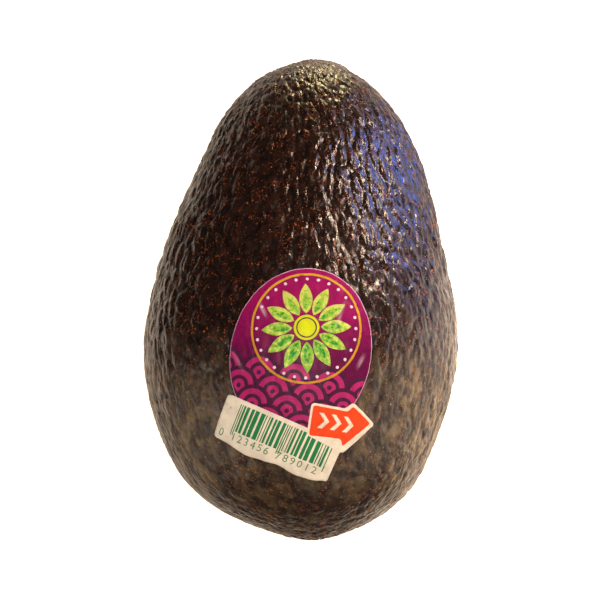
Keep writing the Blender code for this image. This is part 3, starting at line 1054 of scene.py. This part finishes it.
def make_stem_button():
    """The woody plug: a turned form roughened by noise and ribs, with a hollow top."""
    points, faces = turned_button()
    share = np.hypot(points[:, 0], points[:, 1]) / BUTTON_RADIUS
    rough = 0.22 * MM * cloud(points, 0.9 * MM, 31) + 0.10 * MM * cloud(points, 0.4 * MM, 32)
    angle = np.arctan2(points[:, 1], points[:, 0])
    ribs = 0.10 * MM * np.sin(9 * angle + 3 * cloud(points, 2 * MM, 33)) * smooth_step(0.3, 0.9, share)
    shown = points[:, 2] > 0.3 * BUTTON_HEIGHT
    points[:, :2] *= np.where(shown, 1 + (rough + ribs) / BUTTON_RADIUS, 1)[:, None]
    points[:, 2] += np.where(shown, 0.8 * rough, 0)
    place = TO_WORLD @ stem_frame() @ Matrix.Translation((0, 0, BUTTON_LIFT - CUP_DEPTH - DIMPLE_DEPTH))
    button = mesh_object("woody_button", points, faces, place)
    vertex_values(button.data, "hollow", 1 - smooth_step(0.2, 0.75, share))
    button.data.materials.append(wood_material())
    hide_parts("stem_button")
    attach(button, "root")


# The stage


def floor_material():
    """Plain pale matt board, glowing a little around the fruit and more on the right in front."""
    nodes = Nodes("pale_floor")
    place = nodes.add("ShaderNodeTexCoord").outputs["Object"]
    parts = nodes.add("ShaderNodeSeparateXYZ", {0: place}).outputs
    across, along = parts["X"], parts["Y"]
    glow = nodes.step(nodes.math("MULTIPLY_ADD", along, -0.3, across), -0.124, -0.101)
    glow = nodes.math("MULTIPLY", glow, nodes.step(across, 0.32, 0.18))
    glow = nodes.math("MULTIPLY", glow, nodes.step(along, -0.130, -0.081))
    glow = nodes.math("MULTIPLY", glow, nodes.step(along, 0.128, 0.079))
    lit = nodes.math("MULTIPLY", nodes.step(across, 0.0, 0.07), nodes.step(along, 0.05, -0.02))
    glow = nodes.math("MULTIPLY", glow, nodes.math("MULTIPLY_ADD", lit, 2.0, 1.36))
    tint = nodes.mix(lit, (1.0, 0.80, 0.61), (1.0, 0.79, 0.58))
    nodes.set(Base_Color=(0.50, 0.47, 0.44), Roughness=0.9, Specular_IOR_Level=0.0)
    nodes.set(Emission_Color=tint, Emission_Strength=glow)
    return nodes.material


def make_floor():
    mesh = bpy.data.meshes.new("floor")
    half = 1.5
    corners = [(-half, -half, 0), (half, -half, 0), (half, half, 0), (-half, half, 0)]
    mesh.from_pydata(corners, [], [(0, 1, 2, 3)])
    floor = bpy.data.objects.new("floor", mesh)
    bpy.context.scene.collection.objects.link(floor)
    mesh.materials.append(floor_material())


def area_light(name, bearing, height, distance, size, radiance, colour, spread=180):
    """A rectangular light aimed at the fruit from a bearing and a height, with its radiance ahead."""
    half = math.radians(spread) / 2
    narrowing = 1.0 if spread == 180 else 1 - half / math.tan(half)
    data = bpy.data.lights.new(name, "AREA")
    data.shape = "RECTANGLE"
    data.size, data.size_y = size
    data.energy = radiance * math.pi * size[0] * size[1] * narrowing
    data.color = colour
    data.spread = math.radians(spread)
    bearing, height = math.radians(bearing), math.radians(height)
    level = math.cos(height)
    way = Vector((level * math.cos(bearing), level * math.sin(bearing), math.sin(height)))
    light = bpy.data.objects.new(name, data)
    light.location = Vector((0, 0, 0.04)) + way * distance
    light.rotation_euler = way.to_track_quat("Z", "Y").to_euler()
    bpy.context.scene.collection.objects.link(light)


def make_world():
    """A dim room."""
    world = bpy.data.worlds.new("room")
    bpy.context.scene.world = world
    world.use_nodes = True
    world.node_tree.nodes["Background"].inputs["Color"].default_value = (0.028, 0.022, 0.018, 1)


def make_camera():
    data = bpy.data.cameras.new("camera")
    data.lens = CAMERA_LENS
    data.sensor_width = 36.0
    camera = bpy.data.objects.new("camera", data)
    camera.location = CAMERA_PLACE
    bpy.context.scene.collection.objects.link(camera)
    bpy.context.scene.camera = camera


def make_lights():
    """A lamp overhead, a warm key behind on the right, soft front cards, and low cool and golden cards."""
    area_light("overhead", 90, 89, 0.70, (0.10, 0.10), 118, (1.0, 0.96, 0.91), 30)
    area_light("warm_key", 46, 21, 0.60, (0.09, 0.10), 120, (1.0, 0.75, 0.54), 36)
    for bearing, height, radiance in ((-148, 14, 2.9), (-74, 22, 1.7), (-35, 24, 2.4)):
        area_light("front_card", bearing, height, 0.60, (0.50, 0.36), radiance, (1.0, 0.89, 0.77), 60)
    area_light("side_card", -10, 5, 0.40, (0.28, 0.12), 5.8, (1.0, 0.86, 0.72), 70)
    area_light("cool_card", 40, -4, 0.130, (0.056, 0.032), 14, (0.15, 0.29, 1.0))
    area_light("cool_side", 8, -1, 0.150, (0.060, 0.018), 3.5, (0.34, 0.45, 1.0))
    area_light("gold_card", 82, -15.5, 0.120, (0.020, 0.013), 44, (1.0, 0.82, 0.42))


make_camera()
make_skin()
make_stem_button()
make_label()
make_floor()
make_world()
make_lights()
bpy.context.scene.view_settings.view_transform = "Standard"
